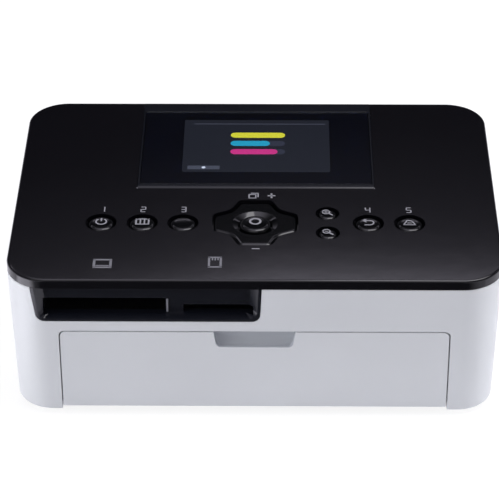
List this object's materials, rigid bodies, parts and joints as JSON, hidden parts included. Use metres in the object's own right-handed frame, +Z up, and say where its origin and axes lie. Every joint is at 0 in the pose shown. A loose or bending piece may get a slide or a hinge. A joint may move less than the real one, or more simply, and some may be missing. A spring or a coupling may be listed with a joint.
{
  "type": "compact photo printer",
  "caption": "Compact photo printer with a tilting screen in its glossy top, keys, card slots, a front paper door, a side ribbon door and working print rollers.",
  "frame": {"origin": "centre of the bounding box on the surface it stands on", "axes": "+X to the right seen from the front, +Y to the back, +Z up"},
  "size_m": [0.178, 0.126, 0.0605],
  "materials": {
    "white_shell": "fine satin moulded",
    "base_plastic": "satin moulded",
    "black_gloss": "high gloss moulded",
    "lid_plastic": "gloss moulded",
    "bezel_plastic": "semi-gloss moulded",
    "key_plastic": "semi-gloss moulded",
    "screen_window": "polished",
    "display": "display panel",
    "pin_steel": "turned",
    "sheet_steel": "zinc plated sheet",
    "socket_steel": "pressed sheet",
    "roller_steel": "ground",
    "motor_steel": "plated can",
    "switch_metal": "stamped",
    "circuit_board": "solder mask",
    "bay_plastic": "moulded",
    "gear_plastic": "acetal",
    "bush_plastic": "acetal",
    "roller_rubber": "ground rubber",
    "cartridge_plastic": "moulded",
    "spool_plastic": "wound ribbon",
    "ribbon": "coated film",
    "sink_aluminium": "extruded",
    "head_ceramic": "glazed",
    "inlet_plastic": "moulded",
    "foot_rubber": "moulded"
  },
  "bodies": {
    "printer": {"base_plate": "base_plastic", "body_shell": "white_shell", "top_cover": "black_gloss", "card_bezel": "bezel_plastic", "hinge_pins": "pin_steel", "control_board": "circuit_board", "key_switches": "switch_metal", "paper_bay": "bay_plastic", "reader_board": "circuit_board", "large_card_socket": "socket_steel", "small_card_socket": "socket_steel", "left_frame": "sheet_steel", "right_frame": "sheet_steel", "shaft_bushes": "bush_plastic", "gear_studs": "pin_steel", "feed_motor": "motor_steel", "ribbon_motor": "motor_steel", "cartridge_shell": "cartridge_plastic", "ribbon_film": "ribbon", "main_board": "circuit_board", "dc_inlet": "inlet_plastic", "usb_port": "socket_steel", "rear_paper_guide": "bay_plastic", "case_screws": "pin_steel", "rubber_feet": "foot_rubber"},
    "screen_lid": {"screen_frame": "lid_plastic", "screen_back": "lid_plastic", "screen_glass": "screen_window", "lcd_panel": "display"},
    "front_door": {"front_door": "white_shell"},
    "side_door": {"side_door": "white_shell"},
    "power_key": {"power_key": "key_plastic"},
    "menu_key": {"menu_key": "key_plastic"},
    "edit_key": {"edit_key": "key_plastic"},
    "navigation_pad": {"navigation_pad": "key_plastic"},
    "centre_key": {"centre_key": "key_plastic"},
    "zoom_in_key": {"zoom_in_key": "key_plastic"},
    "zoom_out_key": {"zoom_out_key": "key_plastic"},
    "back_key": {"back_key": "key_plastic"},
    "print_key": {"print_key": "key_plastic"},
    "platen": {"platen_shaft": "pin_steel", "platen_roller": "roller_rubber", "platen_gear": "gear_plastic"},
    "motor_pinion": {"motor_pinion": "gear_plastic"},
    "transfer_gear": {"transfer_gear": "gear_plastic"},
    "capstan": {"capstan_roller": "roller_steel", "capstan_gear": "gear_plastic"},
    "pinch_roller": {"pinch_roller": "roller_steel"},
    "pickup_idler": {"pickup_idler": "gear_plastic"},
    "pickup": {"pickup_shaft": "pin_steel", "pickup_roller": "roller_rubber", "pickup_gear": "gear_plastic"},
    "take_up": {"take_up_gear": "gear_plastic", "take_up_spool": "spool_plastic"},
    "ribbon_idler": {"ribbon_idler": "gear_plastic"},
    "ribbon_pinion": {"ribbon_pinion": "gear_plastic"},
    "supply_spool": {"supply_spool": "spool_plastic"},
    "print_head": {"head_arm": "sheet_steel", "heat_sink": "sink_aluminium", "thermal_head": "head_ceramic"}
  },
  "joints": [
    {"name": "screen_tilt", "type": "hinge", "parent": "printer", "child": "screen_lid", "pos_m": [0, 0.001, 0.0585], "axis": [1, 0, 0], "range_deg": [0, 45]},
    {"name": "front_door_swing", "type": "hinge", "parent": "printer", "child": "front_door", "pos_m": [0, -0.05891, 0.0056], "axis": [1, 0, 0], "range_deg": [0, 90]},
    {"name": "side_door_swing", "type": "hinge", "parent": "printer", "child": "side_door", "pos_m": [0.08491, 0.009, 0.0056], "axis": [0, 1, 0], "range_deg": [0, 90]},
    {"name": "head_lower", "type": "hinge", "parent": "printer", "child": "print_head", "pos_m": [0, 0.042, 0.0486], "axis": [1, 0, 0], "range_deg": [0, 4]},
    {"name": "power_key_press", "type": "slide", "parent": "printer", "child": "power_key", "axis": [0, 0, -1], "range_m": [0, 0.0004], "stiffness_N_per_m": 500, "springref_m": -0.0004},
    {"name": "menu_key_press", "type": "slide", "parent": "printer", "child": "menu_key", "axis": [0, 0, -1], "range_m": [0, 0.0004], "stiffness_N_per_m": 500, "springref_m": -0.0004},
    {"name": "edit_key_press", "type": "slide", "parent": "printer", "child": "edit_key", "axis": [0, 0, -1], "range_m": [0, 0.0004], "stiffness_N_per_m": 500, "springref_m": -0.0004},
    {"name": "navigation_pad_press", "type": "slide", "parent": "printer", "child": "navigation_pad", "axis": [0, 0, -1], "range_m": [0, 0.0004], "stiffness_N_per_m": 500, "springref_m": -0.0004},
    {"name": "centre_key_press", "type": "slide", "parent": "printer", "child": "centre_key", "axis": [0, 0, -1], "range_m": [0, 0.0004], "stiffness_N_per_m": 500, "springref_m": -0.0004},
    {"name": "zoom_in_key_press", "type": "slide", "parent": "printer", "child": "zoom_in_key", "axis": [0, 0, -1], "range_m": [0, 0.0004], "stiffness_N_per_m": 500, "springref_m": -0.0004},
    {"name": "zoom_out_key_press", "type": "slide", "parent": "printer", "child": "zoom_out_key", "axis": [0, 0, -1], "range_m": [0, 0.0004], "stiffness_N_per_m": 500, "springref_m": -0.0004},
    {"name": "back_key_press", "type": "slide", "parent": "printer", "child": "back_key", "axis": [0, 0, -1], "range_m": [0, 0.0004], "stiffness_N_per_m": 500, "springref_m": -0.0004},
    {"name": "print_key_press", "type": "slide", "parent": "printer", "child": "print_key", "axis": [0, 0, -1], "range_m": [0, 0.0004], "stiffness_N_per_m": 500, "springref_m": -0.0004},
    {"name": "platen_spin", "type": "hinge", "parent": "printer", "child": "platen", "pos_m": [0, 0.009, 0.0186], "axis": [1, 0, 0], "continuous": true},
    {"name": "motor_spin", "type": "hinge", "parent": "printer", "child": "motor_pinion", "pos_m": [0, -0.00628, 0.01387], "axis": [1, 0, 0], "continuous": true},
    {"name": "transfer_spin", "type": "hinge", "parent": "printer", "child": "transfer_gear", "pos_m": [0, 0.03095, 0.01716], "axis": [1, 0, 0], "continuous": true},
    {"name": "capstan_spin", "type": "hinge", "parent": "printer", "child": "capstan", "pos_m": [0, 0.046, 0.0226], "axis": [1, 0, 0], "continuous": true},
    {"name": "pinch_spin", "type": "hinge", "parent": "printer", "child": "pinch_roller", "pos_m": [0, 0.046, 0.0303], "axis": [1, 0, 0], "continuous": true},
    {"name": "pickup_idler_spin", "type": "hinge", "parent": "printer", "child": "pickup_idler", "pos_m": [0, -0.01834, 0.01818], "axis": [1, 0, 0], "continuous": true},
    {"name": "pickup_spin", "type": "hinge", "parent": "printer", "child": "pickup", "pos_m": [0, -0.0265, 0.031], "axis": [1, 0, 0], "continuous": true},
    {"name": "take_up_spin", "type": "hinge", "parent": "printer", "child": "take_up", "pos_m": [0, 0.026, 0.0365], "axis": [1, 0, 0], "continuous": true},
    {"name": "ribbon_idler_spin", "type": "hinge", "parent": "printer", "child": "ribbon_idler", "pos_m": [0, 0.03994, 0.03526], "axis": [1, 0, 0], "continuous": true},
    {"name": "ribbon_pinion_spin", "type": "hinge", "parent": "printer", "child": "ribbon_pinion", "pos_m": [0, 0.049, 0.0395], "axis": [1, 0, 0], "continuous": true},
    {"name": "supply_spin", "type": "hinge", "parent": "printer", "child": "supply_spool", "pos_m": [0, -0.008, 0.0365], "axis": [1, 0, 0], "continuous": true}
  ],
  "couplings": [
    {"joint": "motor_spin", "follows": "platen_spin", "ratio": -3},
    {"joint": "transfer_spin", "follows": "platen_spin", "ratio": -1.2},
    {"joint": "capstan_spin", "follows": "platen_spin", "ratio": 2},
    {"joint": "pinch_spin", "follows": "platen_spin", "ratio": -2.2857},
    {"joint": "pickup_idler_spin", "follows": "platen_spin", "ratio": 1.3636},
    {"joint": "pickup_spin", "follows": "platen_spin", "ratio": -1.875},
    {"joint": "ribbon_idler_spin", "follows": "take_up_spin", "ratio": -1.3333},
    {"joint": "ribbon_pinion_spin", "follows": "take_up_spin", "ratio": 2},
    {"joint": "supply_spin", "follows": "take_up_spin", "ratio": 0.72368}
  ]
}
